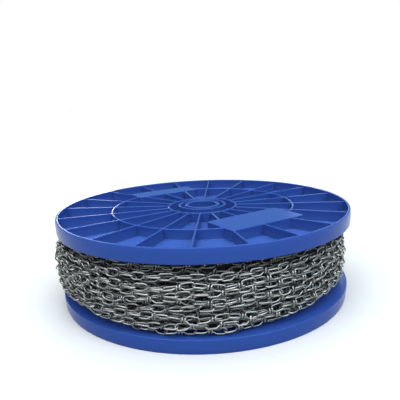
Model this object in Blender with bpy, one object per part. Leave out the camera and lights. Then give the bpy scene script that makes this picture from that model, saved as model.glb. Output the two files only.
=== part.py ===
# Reel of knotted steel chain, lying flat on its lower flange.
# Units are metres, +Z is up along the reel's axis, and z = 0 is the face that it lies on.
# Two equal plastic mouldings close the ends of a barrel, and the chain is wound between them.

import math

import bmesh
import bpy
from mathutils import Matrix

# Whole reel
REEL_RADIUS = 0.150
REEL_HEIGHT = 0.090
GAP = 0.0003

# Flange moulding: heights are measured from the face that bears on the chain
RIM_HEIGHT = 0.0133
RIM_WALL = 0.0030
RIM_EDGE = 0.0007
WEB = 0.0022
RIB_DROP = 0.0012
RIB_WALL = 0.0020
RIB_COUNT = 20
RIB_START = math.radians(85.8)
OUTER_RING_RADIUS = 0.0937
INNER_RING_RADIUS = 0.0352

# Hub of the flange
BORE_RADIUS = 0.0147
TUBE_RADIUS = 0.0182
COLLAR_RADIUS = 0.0248
COLLAR_WALL = 0.0022
GROOVE_DEPTH = 0.0050

# Label pads: distance of the middle from the axis, its direction, turn of the long side, length, width
PADS = (
    (0.0811, math.radians(306.7), math.radians(32.3), 0.0830, 0.0405),
    (0.0942, math.radians(118.9), math.radians(28.5), 0.0760, 0.0260),
)

# Barrel, and the ring on each flange that centres it
BARREL_RADIUS = 0.0500
BARREL_WALL = 0.0040
LOCATING_WALL = 0.0020
LOCATING_HEIGHT = 0.0050

# Chain winding: it is fullest half way up, and its outermost rows lie further in, next to the flanges.
# The lowest row lies in and out by LOWER_SWING as it goes round.
WINDING_RADIUS = 0.1480
ROW_COUNT = 9
ROW_DEPTH = 0.0037
POINTS_PER_ROW = 3
UPPER_FALL = 0.0113
LOWER_FALL = 0.0085
LOWER_SWING = 0.0054
SWING_COUNT = 4
EDGE_SHARE = 0.88
EDGE_POWER = 5

# Facets round a full turn
FLANGE_FACETS = 60
WINDING_FACETS = 60
BARREL_FACETS = 48

SPACE = REEL_HEIGHT - 2 * RIM_HEIGHT
RIB_TOP = RIM_HEIGHT - RIB_DROP


def clear_scene():
    for thing in list(bpy.data.objects):
        bpy.data.objects.remove(thing, do_unlink=True)


def material(name, colour, roughness, metallic):
    made = bpy.data.materials.new(name)
    made.use_nodes = True
    shader = made.node_tree.nodes["Principled BSDF"]
    shader.inputs["Base Color"].default_value = (*colour, 1.0)
    shader.inputs["Roughness"].default_value = roughness
    shader.inputs["Metallic"].default_value = metallic
    return made


def add_object(name, mesh, finish=None):
    thing = bpy.data.objects.new(name, mesh)
    bpy.context.scene.collection.objects.link(thing)
    if finish:
        mesh.materials.clear()
        mesh.materials.append(finish)
    return thing


def mesh_from(shape, name):
    bmesh.ops.recalc_face_normals(shape, faces=shape.faces)
    mesh = bpy.data.meshes.new(name)
    shape.to_mesh(mesh)
    shape.free()
    return mesh


def shade(mesh):
    mesh.shade_smooth()
    mesh.set_sharp_from_angle(angle=math.radians(30))


def turned(name, profile, facets):
    """One closed solid made by spinning a closed profile of (radius, height) points about Z."""
    shape = bmesh.new()
    corners = [shape.verts.new((radius, 0.0, height)) for radius, height in profile]
    edges = [shape.edges.new((a, b)) for a, b in zip(corners, corners[1:] + corners[:1])]
    bmesh.ops.spin(
        shape, geom=corners + edges, axis=(0, 0, 1), cent=(0, 0, 0),
        angle=math.tau, steps=facets, use_merge=True,
    )
    bmesh.ops.remove_doubles(shape, verts=shape.verts, dist=1e-6)
    return mesh_from(shape, name)


def flange_profile():
    """Rim, web, ring ribs and hub of the flange, from the bore outwards and back under the web."""
    outer_ring = (OUTER_RING_RADIUS - RIB_WALL / 2, OUTER_RING_RADIUS + RIB_WALL / 2)
    inner_ring = (INNER_RING_RADIUS - RIB_WALL / 2, INNER_RING_RADIUS + RIB_WALL / 2)
    locating = BARREL_RADIUS - BARREL_WALL - GAP
    tube_end = (GAP - SPACE) / 2
    hub = [
        (BORE_RADIUS, RIM_HEIGHT),
        (TUBE_RADIUS, RIM_HEIGHT),
        (TUBE_RADIUS, RIM_HEIGHT - GROOVE_DEPTH),
        (COLLAR_RADIUS - COLLAR_WALL, RIM_HEIGHT - GROOVE_DEPTH),
        (COLLAR_RADIUS - COLLAR_WALL, RIM_HEIGHT),
        (COLLAR_RADIUS, RIM_HEIGHT),
        (COLLAR_RADIUS, WEB),
    ]
    rings = []
    for inside, outside in (inner_ring, outer_ring):
        rings += [(inside, WEB), (inside, RIB_TOP), (outside, RIB_TOP), (outside, WEB)]
    rim = [
        (REEL_RADIUS - RIM_WALL, WEB),
        (REEL_RADIUS - RIM_WALL, RIM_HEIGHT),
        (REEL_RADIUS - RIM_EDGE, RIM_HEIGHT),
        (REEL_RADIUS, RIM_HEIGHT - RIM_EDGE),
        (REEL_RADIUS, RIM_EDGE),
        (REEL_RADIUS - RIM_EDGE, 0.0),
    ]
    under = [
        (locating, 0.0),
        (locating, -LOCATING_HEIGHT),
        (locating - LOCATING_WALL, -LOCATING_HEIGHT),
        (locating - LOCATING_WALL, 0.0),
        (TUBE_RADIUS, 0.0),
        (TUBE_RADIUS, tube_end),
        (BORE_RADIUS, tube_end),
    ]
    return hub + rings + rim + under


def rib_star():
    """The radial ribs, as plain bars from the inner ring rib into the rim."""
    start = INNER_RING_RADIUS
    end = REEL_RADIUS - RIM_WALL / 2
    bottom = WEB / 2
    shape = bmesh.new()
    for index in range(RIB_COUNT):
        size = Matrix.Diagonal((end - start, RIB_WALL, RIB_TOP - bottom, 1.0))
        place = Matrix.Translation(((start + end) / 2, 0.0, (RIB_TOP + bottom) / 2))
        turn = Matrix.Rotation(RIB_START + index * math.tau / RIB_COUNT, 4, "Z")
        bmesh.ops.create_cube(shape, size=1.0, matrix=turn @ place @ size)
    return mesh_from(shape, "ribs")


def label_pad(distance, direction, turn, length, width):
    """A plain raised block with its top level with the ribs."""
    bottom = WEB / 2
    centre = (distance * math.cos(direction), distance * math.sin(direction), (RIB_TOP + bottom) / 2)
    size = Matrix.Diagonal((length, width, RIB_TOP - bottom, 1.0))
    shape = bmesh.new()
    place = Matrix.Translation(centre) @ Matrix.Rotation(turn, 4, "Z")
    bmesh.ops.create_cube(shape, size=1.0, matrix=place @ size)
    return mesh_from(shape, "label_pad")


def flange_mesh():
    """The whole moulding: the turned body, joined with its ribs and its label pads."""
    body = add_object("flange_body", turned("flange_body", flange_profile(), FLANGE_FACETS))
    additions = [add_object("ribs", rib_star())]
    additions += [add_object("label_pad", label_pad(*pad)) for pad in PADS]
    for addition in additions:
        union = body.modifiers.new(addition.name, "BOOLEAN")
        union.operation = "UNION"
        union.solver = "EXACT"
        union.object = addition
    evaluated = body.evaluated_get(bpy.context.evaluated_depsgraph_get())
    mesh = bpy.data.meshes.new_from_object(evaluated)
    mesh.name = "flange"
    for thing in [body] + additions:
        bpy.data.objects.remove(thing, do_unlink=True)
    shade(mesh)
    return mesh


def add_flanges(plastic):
    mesh = flange_mesh()
    top = add_object("flange_top", mesh, plastic)
    top.location = (0.0, 0.0, REEL_HEIGHT - RIM_HEIGHT)
    bottom = add_object("flange_bottom", mesh)
    bottom.location = (0.0, 0.0, RIM_HEIGHT)
    bottom.rotation_euler = (math.pi, 0.0, 0.0)


def add_barrel(plastic):
    """A plain tube that stands between the two webs, centred on their locating rings."""
    low = RIM_HEIGHT + GAP
    high = REEL_HEIGHT - RIM_HEIGHT - GAP
    inside = BARREL_RADIUS - BARREL_WALL
    profile = [(inside, low), (BARREL_RADIUS, low), (BARREL_RADIUS, high), (inside, high)]
    mesh = turned("barrel", profile, BARREL_FACETS)
    shade(mesh)
    add_object("barrel", mesh, plastic)


def winding_profile():
    """Bore and ends of the winding, with one rounded ridge on the outside for each row of chain."""
    low = RIM_HEIGHT + GAP
    high = REEL_HEIGHT - RIM_HEIGHT - GAP
    crest = math.sin(math.pi / POINTS_PER_ROW)
    profile = [(BARREL_RADIUS + GAP, high), (BARREL_RADIUS + GAP, low)]
    for step in range(ROW_COUNT * POINTS_PER_ROW + 1):
        share = step / (ROW_COUNT * POINTS_PER_ROW)
        bulge = ROW_DEPTH * abs(math.sin(math.pi * step / POINTS_PER_ROW)) / crest
        profile.append((WINDING_RADIUS - ROW_DEPTH + bulge, low + (high - low) * share))
    return profile


def edge_fall(height, angle):
    """How far the winding falls short of its full radius, at this height and in this direction."""
    share = min(abs(height - REEL_HEIGHT / 2) / (SPACE / 2 * EDGE_SHARE), 1.0)
    if height > REEL_HEIGHT / 2:
        at_edge = UPPER_FALL
    else:
        at_edge = LOWER_FALL - LOWER_SWING * math.cos(SWING_COUNT * angle)
    return at_edge * share ** EDGE_POWER


def add_chain_winding(steel):
    mesh = turned("chain_winding", winding_profile(), WINDING_FACETS)
    for vert in mesh.vertices:
        radius = math.hypot(vert.co.x, vert.co.y)
        if radius > WINDING_RADIUS / 2:
            kept = 1 - edge_fall(vert.co.z, math.atan2(vert.co.y, vert.co.x)) / radius
            vert.co.x *= kept
            vert.co.y *= kept
    mesh.shade_smooth()
    add_object("chain_winding", mesh, steel)


clear_scene()
blue_plastic = material("blue_plastic", (0.035, 0.080, 0.400), 0.38, 0.0)
grey_plastic = material("grey_plastic", (0.120, 0.120, 0.120), 0.60, 0.0)
zinc_steel = material("zinc_steel", (0.420, 0.420, 0.390), 0.35, 0.9)
add_flanges(blue_plastic)
add_barrel(grey_plastic)
add_chain_winding(zinc_steel)
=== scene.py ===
# A full reel of knotted steel chain, lying flat on its lower flange.
# Lengths are in metres, the reel's axis is the Z axis, and z = 0 is the face that the reel lies on.

import math
import random

import bmesh
import bpy
from mathutils import Matrix, Vector, noise


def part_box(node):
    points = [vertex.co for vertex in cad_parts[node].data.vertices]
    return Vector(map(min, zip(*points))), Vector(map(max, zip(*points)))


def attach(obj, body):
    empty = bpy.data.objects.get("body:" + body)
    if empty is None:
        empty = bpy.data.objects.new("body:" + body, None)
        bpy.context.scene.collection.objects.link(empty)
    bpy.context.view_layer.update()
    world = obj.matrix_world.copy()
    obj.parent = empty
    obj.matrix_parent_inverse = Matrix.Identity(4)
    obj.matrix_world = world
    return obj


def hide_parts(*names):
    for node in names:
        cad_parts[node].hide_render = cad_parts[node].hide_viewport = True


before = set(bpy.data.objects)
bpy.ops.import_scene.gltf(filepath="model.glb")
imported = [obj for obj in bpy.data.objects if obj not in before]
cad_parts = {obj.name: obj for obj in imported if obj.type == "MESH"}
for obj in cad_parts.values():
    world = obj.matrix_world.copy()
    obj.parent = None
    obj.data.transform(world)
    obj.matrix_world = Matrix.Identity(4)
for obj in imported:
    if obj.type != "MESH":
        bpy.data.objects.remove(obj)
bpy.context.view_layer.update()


# Barrel: the plain tube that the chain is wound on, hidden by the chain.
# It is extruded in a dull dark plastic and stands between the two flanges, centred by a ring on each.

MM = 0.001


class Value:
    """One socket of a node, so that its maths is written as plain arithmetic."""

    def __init__(self, nodes, socket):
        self.nodes = nodes
        self.socket = socket

    def maths(self, operation, first, second):
        return self.nodes.node("ShaderNodeMath", {"operation": operation}, {0: first, 1: second})

    def __add__(self, other):
        return self.maths("ADD", self, other)

    def __sub__(self, other):
        return self.maths("SUBTRACT", self, other)

    def __rsub__(self, other):
        return self.maths("SUBTRACT", other, self)

    def __mul__(self, other):
        return self.maths("MULTIPLY", self, other)

    __radd__ = __add__
    __rmul__ = __mul__


class Nodes:
    """A tree of shader nodes, all of them added by one method."""

    def __init__(self, tree):
        self.tree = tree

    def node(self, kind, settings=None, inputs=None, output=0):
        made = self.tree.nodes.new(kind)
        for name, value in (settings or {}).items():
            setattr(made, name, value)
        for name, value in (inputs or {}).items():
            self.feed(made.inputs[name], value)
        return Value(self, made.outputs[output])

    def feed(self, socket, value):
        if isinstance(value, Value):
            self.tree.links.new(value.socket, socket)
        else:
            socket.default_value = value

    def parts(self, vector):
        """The X, Y and Z of a vector."""
        return [self.node("ShaderNodeSeparateXYZ", None, {0: vector}, axis) for axis in "XYZ"]

    def ramp(self, value, low, high, start, end):
        """The value carried from low..high to start..end, smoothly and no further."""
        inputs = {"Value": value, 1: low, 2: high, 3: start, 4: end}
        return self.node("ShaderNodeMapRange", {"interpolation_type": "SMOOTHSTEP"}, inputs)

    def mix(self, factor, first, second):
        """One colour going over into another."""
        return self.node("ShaderNodeMix", {"data_type": "RGBA"}, {0: factor, 6: first, 7: second}, output=2)


class Finish(Nodes):
    """A material, with its surface set by name and patterns that stay in place on the piece."""

    def __init__(self, name):
        self.material = bpy.data.materials.new(name)
        self.material.use_nodes = True
        super().__init__(self.material.node_tree)
        self.surface = self.tree.nodes["Principled BSDF"]
        self.place = self.node("ShaderNodeTexCoord", output="Object")

    def clouds(self, size, detail):
        """A cloudy pattern from 0 to 1, whose patches are about that size in metres."""
        inputs = {"Vector": self.place, "Scale": 1 / size, "Detail": detail}
        return self.node("ShaderNodeTexNoise", None, inputs)

    def bump(self, height, strength, distance):
        inputs = {"Height": height, "Strength": strength, "Distance": distance}
        return self.node("ShaderNodeBump", None, inputs)

    def set(self, **inputs):
        for name, value in inputs.items():
            self.feed(self.surface.inputs[name.replace("_", " ")], value)
        return self.material


def barrel_plastic():
    finish = Finish("barrel_plastic")
    grain = finish.clouds(size=4 * MM, detail=4.0)
    colour = finish.mix(grain, (0.010, 0.010, 0.011, 1.0), (0.022, 0.022, 0.024, 1.0))
    roughness = finish.ramp(grain, 0.3, 0.7, 0.55, 0.75)
    bump = finish.bump(grain, strength=0.3, distance=0.2 * MM)
    return finish.set(Base_Color=colour, Roughness=roughness, Normal=bump)


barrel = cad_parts["barrel"]
barrel.data.materials.clear()
barrel.data.materials.append(barrel_plastic())


# Flanges: two equal injection mouldings in blue plastic, the upper one turned over for the lower end.
# A thin closed web is stiffened by a crowned rim, twenty radial ribs and two ring ribs with rounded tops,
# and it carries the hub collar, half of the bore tube and two raised bare pads for labels.

TOP_LOW, TOP_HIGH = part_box("flange_top")
REEL_RADIUS = TOP_HIGH.x
REEL_HEIGHT = TOP_HIGH.z
RIM_HEIGHT = 13.3 * MM
RIM_WALL = 3.0 * MM
CROWN_DEPTH = 1.0 * MM
CROWN_HEIGHT = 7.0 * MM
CROWN_STEPS = 8
WEB = 2.2 * MM
RIB_TOP = RIM_HEIGHT - 1.2 * MM
RIB_WALL = 2.0 * MM
RIB_COUNT = 20
RIB_START = math.radians(85.8)
OUTER_RING_RADIUS = 93.7 * MM
INNER_RING_RADIUS = 35.2 * MM
BORE_RADIUS = 14.7 * MM
TUBE_RADIUS = 18.2 * MM
TUBE_END = TOP_LOW.z - (REEL_HEIGHT - RIM_HEIGHT)
COLLAR_RADIUS = 24.8 * MM
COLLAR_WALL = 2.2 * MM
GROOVE_DEPTH = 5.0 * MM
# The ring that centres the barrel stands inside its wall, with a loose fit
BARREL_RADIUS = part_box("barrel")[1].x
BARREL_WALL = 4.0 * MM
LOOSE_FIT = 0.3 * MM
LOCATING_RADIUS = BARREL_RADIUS - BARREL_WALL - LOOSE_FIT
LOCATING_WALL = 2.0 * MM
LOCATING_HEIGHT = 5.0 * MM
# Distance of each pad from the axis, its direction, the turn of its long side, its length and width
PADS = (
    (81.1 * MM, math.radians(306.7), math.radians(32.3), 83.0 * MM, 40.5 * MM),
    (94.2 * MM, math.radians(118.9), math.radians(28.5), 76.0 * MM, 26.0 * MM),
)
PAD_CORNER = 3.0 * MM
# Radial ribs end just under the tops of the ring ribs and pads just above them, so that no faces coincide
RIB_BELOW_RING = 0.03 * MM
PAD_ABOVE_RING = 0.12 * MM
MOULD_DRAFT = 0.1 * MM
TURNED_ROUNDING = 0.7 * MM
RIB_ROUNDING = 0.5 * MM
PAD_ROUNDING = 0.6 * MM
ROUNDING_STEPS = 3
PAD_CORNER_STEPS = 6
TURN_STEPS = 240
SAME_POINT = 0.001 * MM
SHARP_ANGLE = math.radians(40)


def round_off(shape, corners_or_edges, kind, radius, steps):
    """Rounds the given corners (kind VERTICES) of a flat outline, or edges (kind EDGES) of a solid."""
    bmesh.ops.bevel(
        shape, geom=corners_or_edges, offset=radius, offset_type="OFFSET", segments=steps, profile=0.5,
        affect=kind, clamp_overlap=True, material=-1,
    )


def sort_by_place(shape):
    """Puts points and faces in order of place, because the operators leave them in an order that varies."""
    for rank, vert in enumerate(sorted(shape.verts, key=lambda vert: vert.co[:])):
        vert.index = rank
    for rank, face in enumerate(sorted(shape.faces, key=lambda face: face.calc_center_median()[:])):
        face.index = rank
    shape.verts.sort()
    shape.faces.sort()


def spin_closed(shape, steps):
    """Spins an outline once round the Z axis, and joins its end to its start."""
    bmesh.ops.spin(
        shape, geom=shape.verts[:] + shape.edges[:], axis=(0, 0, 1), cent=(0, 0, 0),
        angle=math.tau, steps=steps, use_merge=True,
    )
    bmesh.ops.remove_doubles(shape, verts=shape.verts, dist=SAME_POINT)
    sort_by_place(shape)


def turned(outline):
    """A closed ring: the outline of (radius, height) points, its sharp corners rounded, spun about Z."""
    shape = bmesh.new()
    section = shape.faces.new([shape.verts.new((radius, 0.0, height)) for radius, height in outline])
    corners = [loop.vert for loop in section.loops if math.pi - loop.calc_angle() > SHARP_ANGLE]
    round_off(shape, corners, "VERTICES", TURNED_ROUNDING, ROUNDING_STEPS)
    bmesh.ops.delete(shape, geom=shape.faces[:], context="FACES_ONLY")
    spin_closed(shape, TURN_STEPS)
    bmesh.ops.recalc_face_normals(shape, faces=shape.faces)
    return shape


def bar(length, width, bottom, top, rounding, corner=0.0):
    """A moulded bar with a rounded top, sides that lean in a little, and rounded corners if asked."""
    shape = bmesh.new()
    bmesh.ops.create_cube(shape, size=1.0)
    bmesh.ops.scale(shape, verts=shape.verts, vec=(length, width, top - bottom))
    bmesh.ops.translate(shape, verts=shape.verts, vec=(0.0, 0.0, (top + bottom) / 2))
    if corner:
        upright = [e for e in shape.edges if abs(e.verts[0].co.z - e.verts[1].co.z) > MM]
        round_off(shape, upright, "EDGES", corner, PAD_CORNER_STEPS)
    upper = [v for v in shape.verts if v.co.z > (top + bottom) / 2]
    bmesh.ops.scale(shape, verts=upper, vec=(1.0, 1 - 2 * MOULD_DRAFT / width, 1.0))
    top_edges = [e for e in shape.edges if min(v.co.z for v in e.verts) > bottom + MM]
    round_off(shape, top_edges, "EDGES", rounding, ROUNDING_STEPS)
    sort_by_place(shape)
    return shape


def object_from(shape, name):
    mesh = bpy.data.meshes.new(name)
    shape.to_mesh(mesh)
    shape.free()
    made = bpy.data.objects.new(name, mesh)
    bpy.context.scene.collection.objects.link(made)
    return made


def settled(piece):
    """The piece with its modifiers applied."""
    evaluated = piece.evaluated_get(bpy.context.evaluated_depsgraph_get())
    mesh = bpy.data.meshes.new_from_object(evaluated)
    piece.modifiers.clear()
    piece.data = mesh
    return piece


def moulding_outline():
    """Half section of the flange, from the top of the bore outwards and back under the web."""
    outline = [
        (BORE_RADIUS, RIM_HEIGHT),
        (TUBE_RADIUS, RIM_HEIGHT),
        (TUBE_RADIUS, RIM_HEIGHT - GROOVE_DEPTH),
        (COLLAR_RADIUS - COLLAR_WALL, RIM_HEIGHT - GROOVE_DEPTH),
        (COLLAR_RADIUS - COLLAR_WALL, RIM_HEIGHT),
        (COLLAR_RADIUS, RIM_HEIGHT),
        (COLLAR_RADIUS, WEB),
    ]
    for ring in (INNER_RING_RADIUS, OUTER_RING_RADIUS):
        inside = ring - RIB_WALL / 2
        outside = ring + RIB_WALL / 2
        outline += [(inside, WEB), (inside, RIB_TOP), (outside, RIB_TOP), (outside, WEB)]
    outline += [
        (REEL_RADIUS - RIM_WALL, WEB),
        (REEL_RADIUS - RIM_WALL, RIM_HEIGHT),
    ]
    for step in range(CROWN_STEPS + 1):
        angle = math.pi / 2 * (1 - step / CROWN_STEPS)
        radius = REEL_RADIUS - CROWN_DEPTH * (1 - math.cos(angle))
        outline.append((radius, RIM_HEIGHT - CROWN_HEIGHT * (1 - math.sin(angle))))
    outline += [
        (REEL_RADIUS, 0.0),
        (LOCATING_RADIUS, 0.0),
        (LOCATING_RADIUS, -LOCATING_HEIGHT),
        (LOCATING_RADIUS - LOCATING_WALL, -LOCATING_HEIGHT),
        (LOCATING_RADIUS - LOCATING_WALL, 0.0),
        (TUBE_RADIUS, 0.0),
        (TUBE_RADIUS, TUBE_END),
        (BORE_RADIUS, TUBE_END),
    ]
    return outline


def radial_ribs():
    """All the radial ribs, each from the inner ring rib into the rim."""
    inner_end = INNER_RING_RADIUS
    outer_end = REEL_RADIUS - RIM_WALL / 2
    rib = bar(outer_end - inner_end, RIB_WALL, WEB / 2, RIB_TOP - RIB_BELOW_RING, RIB_ROUNDING)
    bmesh.ops.translate(rib, verts=rib.verts, vec=((outer_end + inner_end) / 2, 0.0, 0.0))
    rib_mesh = bpy.data.meshes.new("rib")
    rib.to_mesh(rib_mesh)
    rib.free()
    ribs = bmesh.new()
    for index in range(RIB_COUNT):
        one = rib_mesh.copy()
        one.transform(Matrix.Rotation(RIB_START + index * math.tau / RIB_COUNT, 4, "Z"))
        ribs.from_mesh(one)
        bpy.data.meshes.remove(one)
    return object_from(ribs, "ribs")


def label_pad(distance, direction, turn, length, width):
    pad = bar(length, width, WEB / 2, RIB_TOP + PAD_ABOVE_RING, PAD_ROUNDING, PAD_CORNER)
    place = Matrix.Translation((distance * math.cos(direction), distance * math.sin(direction), 0.0))
    bmesh.ops.transform(pad, matrix=place @ Matrix.Rotation(turn, 4, "Z"), verts=pad.verts)
    return object_from(pad, "pad")


def flange_moulding():
    """The turned body, joined with its radial ribs and its label pads."""
    body = object_from(turned(moulding_outline()), "moulding")
    additions = [radial_ribs()] + [label_pad(*pad) for pad in PADS]
    for addition in additions:
        union = body.modifiers.new(addition.name, "BOOLEAN")
        union.operation = "UNION"
        union.solver = "EXACT"
        union.object = addition
    settled(body)
    for addition in additions:
        bpy.data.objects.remove(addition)
    body.data.shade_smooth()
    body.data.set_sharp_from_angle(angle=SHARP_ANGLE)
    weighted = body.modifiers.new("even_faces", "WEIGHTED_NORMAL")
    weighted.keep_sharp = True
    return settled(body)


def painted_pocket_light(finish):
    """Where the pockets are painted lighter as painted fill light: on their floors, and less and less up
    their walls.
    """
    x, y, z = finish.parts(finish.place)
    from_axis = finish.node("ShaderNodeMath", {"operation": "SQRT"}, {0: x * x + y * y})
    from_middle = finish.node("ShaderNodeMath", {"operation": "ABSOLUTE"}, {0: z - REEL_HEIGHT / 2})
    floor_level = REEL_HEIGHT / 2 - RIM_HEIGHT + WEB
    within_rim = finish.ramp(from_axis, REEL_RADIUS - RIM_WALL, REEL_RADIUS - RIM_WALL / 2, 1.0, 0.0)
    below_ribs = finish.ramp(from_middle, floor_level, floor_level + RIB_TOP - WEB, 1.0, 0.0)
    above_web = finish.ramp(from_middle, floor_level - WEB, floor_level - WEB / 4, 0.0, 1.0)
    return within_rim * below_ribs * above_web


def blue_plastic():
    """Glossy blue with faint flow patches and a fine grain; its pockets are painted lighter and greyer as
    painted fill light, and made duller.
    """
    finish = Finish("blue_plastic")
    flow = finish.clouds(size=60 * MM, detail=3.0)
    grain = finish.clouds(size=0.9 * MM, detail=2.0)
    pocket_light_paint = painted_pocket_light(finish) * finish.ramp(flow, 0.3, 0.7, 0.8, 1.0)
    clean = finish.mix(flow, (0.0140, 0.038, 0.166, 1.0), (0.0155, 0.041, 0.177, 1.0))
    # Painted fill light: the pockets take this lighter, greyer blue in place of light that reaches them
    colour = finish.mix(pocket_light_paint, clean, (0.0225, 0.053, 0.195, 1.0))
    roughness = finish.ramp(flow, 0.3, 0.7, 0.20, 0.26) + pocket_light_paint * 0.15
    bump = finish.bump(grain, strength=0.15, distance=0.04 * MM)
    return finish.set(
        Base_Color=colour, Roughness=roughness, Normal=bump,
        Specular_IOR_Level=0.14, Specular_Tint=(0.5, 0.8, 1.0, 1.0),
    )


plastic = blue_plastic()
upper = flange_moulding()
upper.name = "flange_top_moulding"
upper.data.materials.append(plastic)
lower_mesh = upper.data.copy()
upper.data.transform(Matrix.Translation((0.0, 0.0, REEL_HEIGHT - RIM_HEIGHT)))
lower_mesh.transform(Matrix.Translation((0.0, 0.0, RIM_HEIGHT)) @ Matrix.Rotation(math.pi, 4, "X"))
lower = bpy.data.objects.new("flange_bottom_moulding", lower_mesh)
bpy.context.scene.collection.objects.link(lower)
for moulding, node in ((upper, "flange_top"), (lower, "flange_bottom")):
    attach(moulding, "root")
    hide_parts(node)


# Chain: one length of knotted chain, wound on the barrel from flange to flange and back, layer on layer.
# Each link is a zinc-plated steel wire with a loop at either end, the two loops at right angles, and both
# ends of the wire are knotted round its middle. The three outer layers have every link.

WIRE = 1.5 * MM
LINK_PITCH = 24.0 * MM
LOOP_HALF = 2.95 * MM
# Play between two loops that hang in each other
JOINT_SLACK = 0.6 * MM
LOOP_END = (LINK_PITCH + WIRE + JOINT_SLACK) / 2
# Where the wires of a loop have spread to its full width, and how far the returning one lies nearer the knot
FLARE_END = 5.6 * MM
RETURN_SETBACK = 0.5 * MM
KNOT_HALF = 1.7 * MM
KNOT_RADIUS = 2.05 * MM
KNOT_TURNS = 0.85
KNOT_PITCH = 1.4 * MM
FLARE_STEPS = 3
ARC_STEPS = 6
KNOT_STEPS = 7
# Half widths of both loops as shares of the usual one, their roundness (1 is a circle), and their twist
LINK_FORMS = (
    (1.00, 1.00, 0.90, math.radians(0)),
    (0.93, 1.04, 0.84, math.radians(7)),
    (1.05, 0.95, 0.95, math.radians(-8)),
    (0.98, 0.90, 0.88, math.radians(3)),
)


def loop_of_link(half_width, roundness):
    """One loop of a link, from the middle of the knot out, round and back, then round the knot's core."""
    path = [Vector((0.0, 0.0, 0.0))]
    flare = [math.sin(math.pi / 2 * step / FLARE_STEPS) for step in range(FLARE_STEPS + 1)]
    reach = [KNOT_HALF + (FLARE_END - KNOT_HALF) * step / FLARE_STEPS for step in range(FLARE_STEPS + 1)]
    for out, spread in zip(reach[1:], flare[1:]):
        path.append(Vector((out, -half_width * spread, 0.0)))
    for step in range(ARC_STEPS + 1):
        angle = math.pi * (step / ARC_STEPS - 0.5)
        along = LOOP_END - half_width * (1 - max(math.cos(angle), 0.0) ** roundness)
        across = math.copysign(half_width * abs(math.sin(angle)) ** roundness, angle)
        path.append(Vector((along, across, 0.0)))
    for out, spread in zip(reach[:0:-1], flare[:0:-1]):
        across = KNOT_RADIUS + (half_width - KNOT_RADIUS) * spread
        path.append(Vector((out - RETURN_SETBACK, across, 0.0)))
    for step in range(KNOT_STEPS + 1):
        angle = math.tau * KNOT_TURNS * step / KNOT_STEPS
        out = KNOT_HALF - KNOT_PITCH * angle / math.tau
        path.append(Vector((out, KNOT_RADIUS * math.cos(angle), KNOT_RADIUS * math.sin(angle))))
    return path


def link_mesh(share, other_share, roundness, twist):
    """One link along X, its middle at the origin: a bevelled curve through both loops, made a mesh."""
    first = loop_of_link(LOOP_HALF * share, roundness)
    turn = Matrix.Rotation(math.radians(90) + twist, 3, "X") @ Matrix.Rotation(math.pi, 3, "Z")
    second = [turn @ point for point in loop_of_link(LOOP_HALF * other_share, roundness)]
    path = first[:0:-1] + second
    curve = bpy.data.curves.new("link", "CURVE")
    curve.dimensions = "3D"
    curve.bevel_depth = WIRE / 2
    curve.bevel_resolution = 1
    curve.use_fill_caps = True
    spline = curve.splines.new("POLY")
    spline.points.add(len(path) - 1)
    for point, place in zip(spline.points, path):
        point.co = (*place, 1.0)
    holder = bpy.data.objects.new("link", curve)
    mesh = bpy.data.meshes.new_from_object(holder)
    bpy.data.objects.remove(holder)
    return mesh


# The winding: rows one above the other, in layers one inside the other
WINDING_LOW, WINDING_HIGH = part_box("chain_winding")
ROW_COUNT = 9
LAYER_COUNT = 3
LAYER_DEPTH = 5.0 * MM
OUTER_AXIS_RADIUS = 147.2 * MM
EDGE_MARGIN = 3.9 * MM
FIRST_ROW = WINDING_LOW.z + EDGE_MARGIN
ROW_PITCH = (WINDING_HIGH.z - WINDING_LOW.z - 2 * EDGE_MARGIN) / (ROW_COUNT - 1)
FIRST_ANGLE = math.radians(100)
# The chain was laid a little off the axis
LAY_SHIFT = Vector((-3.5 * MM, 0.0, 0.0))
# How far the outermost layer lies in next to the upper flange, and next to the lower one, where it swings
UPPER_FALL = 22.0 * MM
LOWER_FALL = 16.5 * MM
LOWER_SWING = 10.5 * MM
SWING_COUNT = 4
FALL_POWER = 5
FALL_LOST_PER_LAYER = 0.3
# How far the centre line strays up and outwards, and its steps in the noise: round a turn, a row, a layer
WANDER_UP = 3.0 * MM
WANDER_OUT = 2.2 * MM
WANDER_ROUND = 3.6
WANDER_ROW = 0.5
WANDER_LAYER = 31.0
WANDER_APART = Vector((0.0, 0.0, 57.0))
# The share of a turn after which the chain goes over to its next row, and the share that this takes
JOG_START = (0.74, 0.84)
JOG_LENGTH = (0.10, 0.16)
PITCH_TRIES = 4
# Scatter of each joint in X, Y and Z in millimetres, and of each link's roll in degrees
JOINT_SCATTER = (0.6, 0.6, 1.1)
ROLL_SCATTER = 13
# Links next to each other roll alike: the noise's step from link to link and layer to layer, and its gain
ROLL_DRIFT = 0.11
ROLL_LAYER = 5.0
ROLL_GAIN = 5.0
draws = random.Random(7)


def smooth(share):
    share = min(max(share, 0.0), 1.0)
    return share * share * (3 - 2 * share)


def edge_fall(height, angle):
    """How far the outermost layer falls short of its full radius, most of it next to the flanges."""
    share = (height - WINDING_LOW.z) / (WINDING_HIGH.z - WINDING_LOW.z)
    if share < 0.5:
        at_edge = LOWER_FALL - LOWER_SWING * math.cos(SWING_COUNT * angle)
    else:
        at_edge = UPPER_FALL
    return at_edge * abs(2 * share - 1) ** FALL_POWER


def rows_in(layer):
    """Every other layer lies in the hollows of the one above it, so it has a row less."""
    return ROW_COUNT - layer % 2


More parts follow.
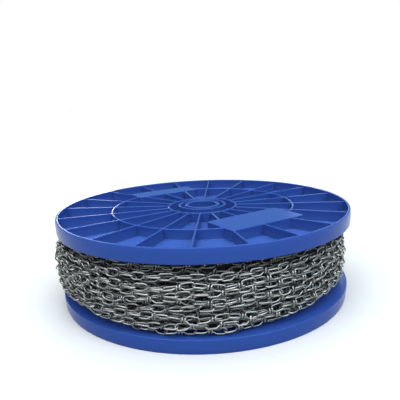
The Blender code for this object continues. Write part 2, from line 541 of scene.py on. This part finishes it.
def chain_place(layer, turns, jogs):
    """The chain's centre line after so many turns of a layer, counted from 0, the outermost."""
    rows = rows_in(layer)
    whole = min(int(turns), rows - 1)
    jog_start, jog_length = jogs[whole]
    row = whole
    if whole < rows - 1:
        row += smooth((turns - whole - jog_start) / jog_length)
    if layer % 2:
        row = rows - 0.5 - row
    angle = math.tau * turns + FIRST_ANGLE
    sample = Vector((
        WANDER_ROUND * math.cos(angle),
        WANDER_ROUND * math.sin(angle),
        WANDER_ROW * row + WANDER_LAYER * layer,
    ))
    height = FIRST_ROW + ROW_PITCH * row + WANDER_UP * noise.noise(sample)
    height = min(max(height, FIRST_ROW), FIRST_ROW + ROW_PITCH * (ROW_COUNT - 1))
    fall = edge_fall(height, angle) * (1 - FALL_LOST_PER_LAYER * layer)
    radius = OUTER_AXIS_RADIUS - LAYER_DEPTH * layer - fall + WANDER_OUT * noise.noise(sample + WANDER_APART)
    return Vector((radius * math.cos(angle), radius * math.sin(angle), height)) + LAY_SHIFT


def joint_places(layer):
    """Where each link of a layer hangs in the next: a walk along the centre line, one pitch at a time."""
    jogs = [(draws.uniform(*JOG_START), draws.uniform(*JOG_LENGTH)) for row in range(ROW_COUNT)]
    turns = 0.0
    places = [chain_place(layer, turns, jogs)]
    while turns < rows_in(layer):
        step = LINK_PITCH / (math.tau * OUTER_AXIS_RADIUS)
        for attempt in range(PITCH_TRIES):
            reach = (chain_place(layer, turns + step, jogs) - places[-1]).length
            step *= LINK_PITCH / reach
        turns += step
        places.append(chain_place(layer, turns, jogs))
    return places


def loose_joints(layer):
    """The joints of a layer, each moved a little across the centre line and kept clear of the flanges."""
    reach = LOOP_HALF + WIRE / 2
    joints = []
    for place in joint_places(layer):
        shift = Vector([draws.gauss(0, scatter) for scatter in JOINT_SCATTER]) * MM
        forward = Vector((-place.y, place.x, 0.0)).normalized()
        joint = place + shift - shift.dot(forward) * forward
        joint.z = min(max(joint.z, WINDING_LOW.z + reach), WINDING_HIGH.z - reach)
        joints.append(joint)
    return joints


def add_layer(layer, forms):
    """One layer of chain: a link of some form between each two joints, rolled much as its neighbours are."""
    body = bmesh.new()
    joints = loose_joints(layer)
    for index, (start, end) in enumerate(zip(joints, joints[1:])):
        along = (end - start).normalized()
        middle = (start + end) / 2
        outward = Vector((middle.x, middle.y, 0.0)).normalized()
        outward = (outward - outward.dot(along) * along).normalized()
        drift = noise.noise(Vector((ROLL_DRIFT * index, ROLL_LAYER * layer, 0.0)))
        roll = math.radians(90 * smooth(0.5 + ROLL_GAIN * drift) + draws.gauss(0, ROLL_SCATTER))
        axes = Matrix((along, outward.cross(along), outward)).transposed().to_4x4()
        link = draws.choice(forms).copy()
        link.transform(Matrix.Translation(middle) @ axes @ Matrix.Rotation(roll, 4, "X"))
        body.from_mesh(link)
        bpy.data.meshes.remove(link)
    for face in body.faces:
        face.smooth = True
    return object_from(body, f"chain_layer_{layer + 1}")


CORE_BORE_RADIUS = BARREL_RADIUS + LOOSE_FIT
CORE_BELOW_LAST_LAYER = 3.5 * MM
CORE_RADIUS = OUTER_AXIS_RADIUS - LAYER_DEPTH * (LAYER_COUNT - 1) - CORE_BELOW_LAST_LAYER
CORE_LEVELS = 4 * ROW_COUNT
CORE_STEPS = 300
LUMP_SIZE = 4.0 * MM
LUMP_HEIGHT = 1.6 * MM


def chain_core():
    """What lies under the three outer layers, as one turned mass with a lumpy outer side."""
    shape = bmesh.new()
    level_height = (WINDING_HIGH.z - WINDING_LOW.z) / CORE_LEVELS
    outline = [(CORE_BORE_RADIUS, WINDING_LOW.z)]
    outline += [(CORE_RADIUS, WINDING_LOW.z + level_height * level) for level in range(CORE_LEVELS + 1)]
    outline += [(CORE_BORE_RADIUS, WINDING_HIGH.z)]
    corners = [shape.verts.new((radius, 0.0, height)) for radius, height in outline]
    for one, other in zip(corners, corners[1:] + corners[:1]):
        shape.edges.new((one, other))
    spin_closed(shape, CORE_STEPS)
    for vert in shape.verts:
        outward = Vector((vert.co.x, vert.co.y, 0.0))
        if outward.length > CORE_RADIUS - MM:
            lump = noise.noise(vert.co / LUMP_SIZE) * LUMP_HEIGHT
            vert.co += outward.normalized() * lump + LAY_SHIFT
    bmesh.ops.recalc_face_normals(shape, faces=shape.faces)
    for face in shape.faces:
        face.smooth = True
    return object_from(shape, "chain_core")


def zinc_steel(name, dark, light, dull):
    """Zinc plating between a dark and a light tone, in patches, with a fine grain; dull is its roughness."""
    finish = Finish(name)
    patches = finish.clouds(size=18 * MM, detail=3.0)
    grain = finish.clouds(size=1.2 * MM, detail=3.0)
    colour = finish.mix(patches, dark, light)
    roughness = finish.ramp(patches, 0.3, 0.7, dull, dull + 0.14) + grain * 0.06
    bump = finish.bump(grain, strength=0.2, distance=0.05 * MM)
    return finish.set(Base_Color=colour, Metallic=0.95, Roughness=roughness, Normal=bump)


# The deeper layers are darker, duller copies of the outer steel, and the core darker still: painted shade
# for the links below
outer_steel = zinc_steel("outer_steel", (0.205, 0.210, 0.192, 1.0), (0.295, 0.295, 0.275, 1.0), dull=0.27)
shaded_inner_steel = zinc_steel("shaded_inner_steel", (0.125, 0.130, 0.122, 1.0), (0.205, 0.205, 0.193, 1.0), dull=0.32)
shaded_core_steel = zinc_steel("shaded_steel", (0.030, 0.030, 0.030, 1.0), (0.070, 0.070, 0.068, 1.0), dull=0.50)
link_forms = [link_mesh(*form) for form in LINK_FORMS]
chain = [add_layer(layer, link_forms) for layer in range(LAYER_COUNT)] + [chain_core()]
# The second and third layers and the core carry the painted shade; only the outer layer has the steel's own
# tones
for piece, steel in zip(chain, (outer_steel, shaded_inner_steel, shaded_inner_steel, shaded_core_steel)):
    piece.data.materials.append(steel)
for piece in chain:
    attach(piece, "root")
    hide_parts("chain_winding")


# Floor, light and camera: a plain pale studio floor, with the camera at the photograph's angle.
# The light is a dim room with bright areas overhead, in front, behind and to the right, two far softboxes
# in front, and two small lamps close behind the reel. The camera sees the room as plain white.

PHOTO_SIZE = 400
FOCAL_PIXELS = 444.7
CENTRE_PIXEL = (202.0, 242.0)
SENSOR_WIDTH = 36.0
CAMERA_DISTANCE = 3.2299 * REEL_RADIUS
CAMERA_HEIGHT_ANGLE = math.radians(17.452)
CAMERA_ROLL = math.radians(2.379)
CAMERA_SIDE = -0.01263 * REEL_RADIUS
CAMERA_RISE = 0.01629 * REEL_RADIUS

ahead = Vector((0.0, math.cos(CAMERA_HEIGHT_ANGLE), -math.sin(CAMERA_HEIGHT_ANGLE)))
right = Vector((1.0, 0.0, 0.0))
above = Vector((0.0, math.sin(CAMERA_HEIGHT_ANGLE), math.cos(CAMERA_HEIGHT_ANGLE)))
camera_right = math.cos(CAMERA_ROLL) * right - math.sin(CAMERA_ROLL) * above
camera_up = math.sin(CAMERA_ROLL) * right + math.cos(CAMERA_ROLL) * above
camera_axes = Matrix((camera_right, camera_up, -ahead)).transposed().to_4x4()
camera_place = Vector((0.0, 0.0, REEL_HEIGHT / 2)) - ahead * CAMERA_DISTANCE
camera_place += right * CAMERA_SIDE + above * CAMERA_RISE

camera_data = bpy.data.cameras.new("camera")
camera_data.sensor_width = SENSOR_WIDTH
camera_data.lens = SENSOR_WIDTH * FOCAL_PIXELS / PHOTO_SIZE
camera_data.shift_x = (PHOTO_SIZE / 2 - CENTRE_PIXEL[0]) / PHOTO_SIZE
camera_data.shift_y = (CENTRE_PIXEL[1] - PHOTO_SIZE / 2) / PHOTO_SIZE
camera = bpy.data.objects.new("camera", camera_data)
camera.matrix_world = Matrix.Translation(camera_place) @ camera_axes
bpy.context.scene.collection.objects.link(camera)
bpy.context.scene.camera = camera

FLOOR_HALF = 30.0

floor_shape = bmesh.new()
bmesh.ops.create_grid(floor_shape, x_segments=1, y_segments=1, size=FLOOR_HALF)
floor = object_from(floor_shape, "floor")
floor_paint = Finish("floor_paint")
floor_colour = floor_paint.mix(
    floor_paint.clouds(size=300 * MM, detail=2.0), (0.352, 0.348, 0.345, 1.0), (0.362, 0.358, 0.355, 1.0))
floor.data.materials.append(floor_paint.set(Base_Color=floor_colour, Roughness=0.9))

# Strengths of the areas of light
ROOM = 0.10
CEILING = 0.5
SOFTBOX = 5.6
FRONT = 1.85
BACK = 0.20
SIDE = 0.8
# Where each begins and ends, on a direction's X, Y or Z, which run from -1 to 1: Z is 1 straight up
CEILING_RISE = (0.40, 0.90)
SOFTBOX_RISE = (0.84, 0.92)
FRONT_DEPTH = (-0.5, 0.3)
FRONT_RISE = (0.28, 0.56)
BACK_DEPTH = (0.3, 0.8)
BACK_RISE = (0.30, 0.60)
SIDE_ACROSS = (0.40, 0.90)

world = bpy.data.worlds.new("studio")
world.use_nodes = True
sky = Nodes(world.node_tree)


def tinted(strength, colour):
    return sky.node("ShaderNodeVectorMath", {"operation": "SCALE"}, {0: colour, "Scale": strength})


def together(lights):
    total = lights[0]
    for light in lights[1:]:
        total = sky.node("ShaderNodeVectorMath", {"operation": "ADD"}, {0: total, 1: light})
    return total


across, depth, rise = sky.parts(sky.node("ShaderNodeTexCoord", output="Generated"))
overhead = sky.ramp(rise, *CEILING_RISE, ROOM, CEILING) + sky.ramp(rise, *SOFTBOX_RISE, 0.0, SOFTBOX)
in_front = sky.ramp(depth, *FRONT_DEPTH, 1.0, 0.0) * sky.ramp(rise, *FRONT_RISE, 0.0, FRONT)
behind = sky.ramp(depth, *BACK_DEPTH, 0.0, 1.0) * sky.ramp(rise, *BACK_RISE, BACK, 0.0)
to_the_right = sky.ramp(across, *SIDE_ACROSS, 0.0, SIDE)
room_light = together([
    tinted(overhead, (0.97, 1.03, 0.99)),
    tinted(in_front, (0.76, 0.82, 1.06)),
    tinted(behind, (0.40, 0.95, 0.70)),
    tinted(to_the_right, (0.55, 0.80, 1.0)),
])
seen = sky.node("ShaderNodeLightPath", output="Is Camera Ray")
sky.feed(sky.tree.nodes["Background"].inputs["Color"], sky.mix(seen, room_light, (1.0, 1.0, 1.0, 1.0)))
bpy.context.scene.world = world

SUN_WIDTH = math.radians(45)
SUN_HEIGHT = math.radians(45)


def soft_sun(name, direction, strength, colour):
    """A far softbox, half way up the sky; its direction is the angle round the reel from the front."""
    light = bpy.data.lights.new(name, "SUN")
    light.energy = strength
    light.color = colour
    light.angle = SUN_WIDTH
    lamp = bpy.data.objects.new(name, light)
    level = math.cos(SUN_HEIGHT)
    away = Vector((math.sin(direction) * level, -math.cos(direction) * level, math.sin(SUN_HEIGHT)))
    lamp.rotation_euler = away.to_track_quat("Z", "Y").to_euler()
    bpy.context.scene.collection.objects.link(lamp)


soft_sun("left_light", direction=math.radians(-45), strength=1.85, colour=(0.88, 0.94, 1.0))
soft_sun("right_light", direction=math.radians(42), strength=2.4, colour=(0.80, 0.90, 1.0))

EDGE_LIGHT_SIZE = 100 * MM


def edge_light(name, place, power):
    """A small light close behind the reel, which draws a bright line along the ring rib on its side."""
    light = bpy.data.lights.new(name, "AREA")
    light.energy = power
    light.size = EDGE_LIGHT_SIZE
    lamp = bpy.data.objects.new(name, light)
    lamp.location = place
    aim = Vector((math.copysign(OUTER_RING_RADIUS, place.x), 0.0, REEL_HEIGHT))
    lamp.rotation_euler = (place - aim).to_track_quat("Z", "Y").to_euler()
    lamp.visible_camera = False
    bpy.context.scene.collection.objects.link(lamp)


edge_light("left_edge_light", place=Vector((-0.196, 0.282, 0.100)), power=0.32)
edge_light("right_edge_light", place=Vector((0.200, 0.270, 0.100)), power=0.06)
bpy.context.scene.view_settings.view_transform = "Standard"
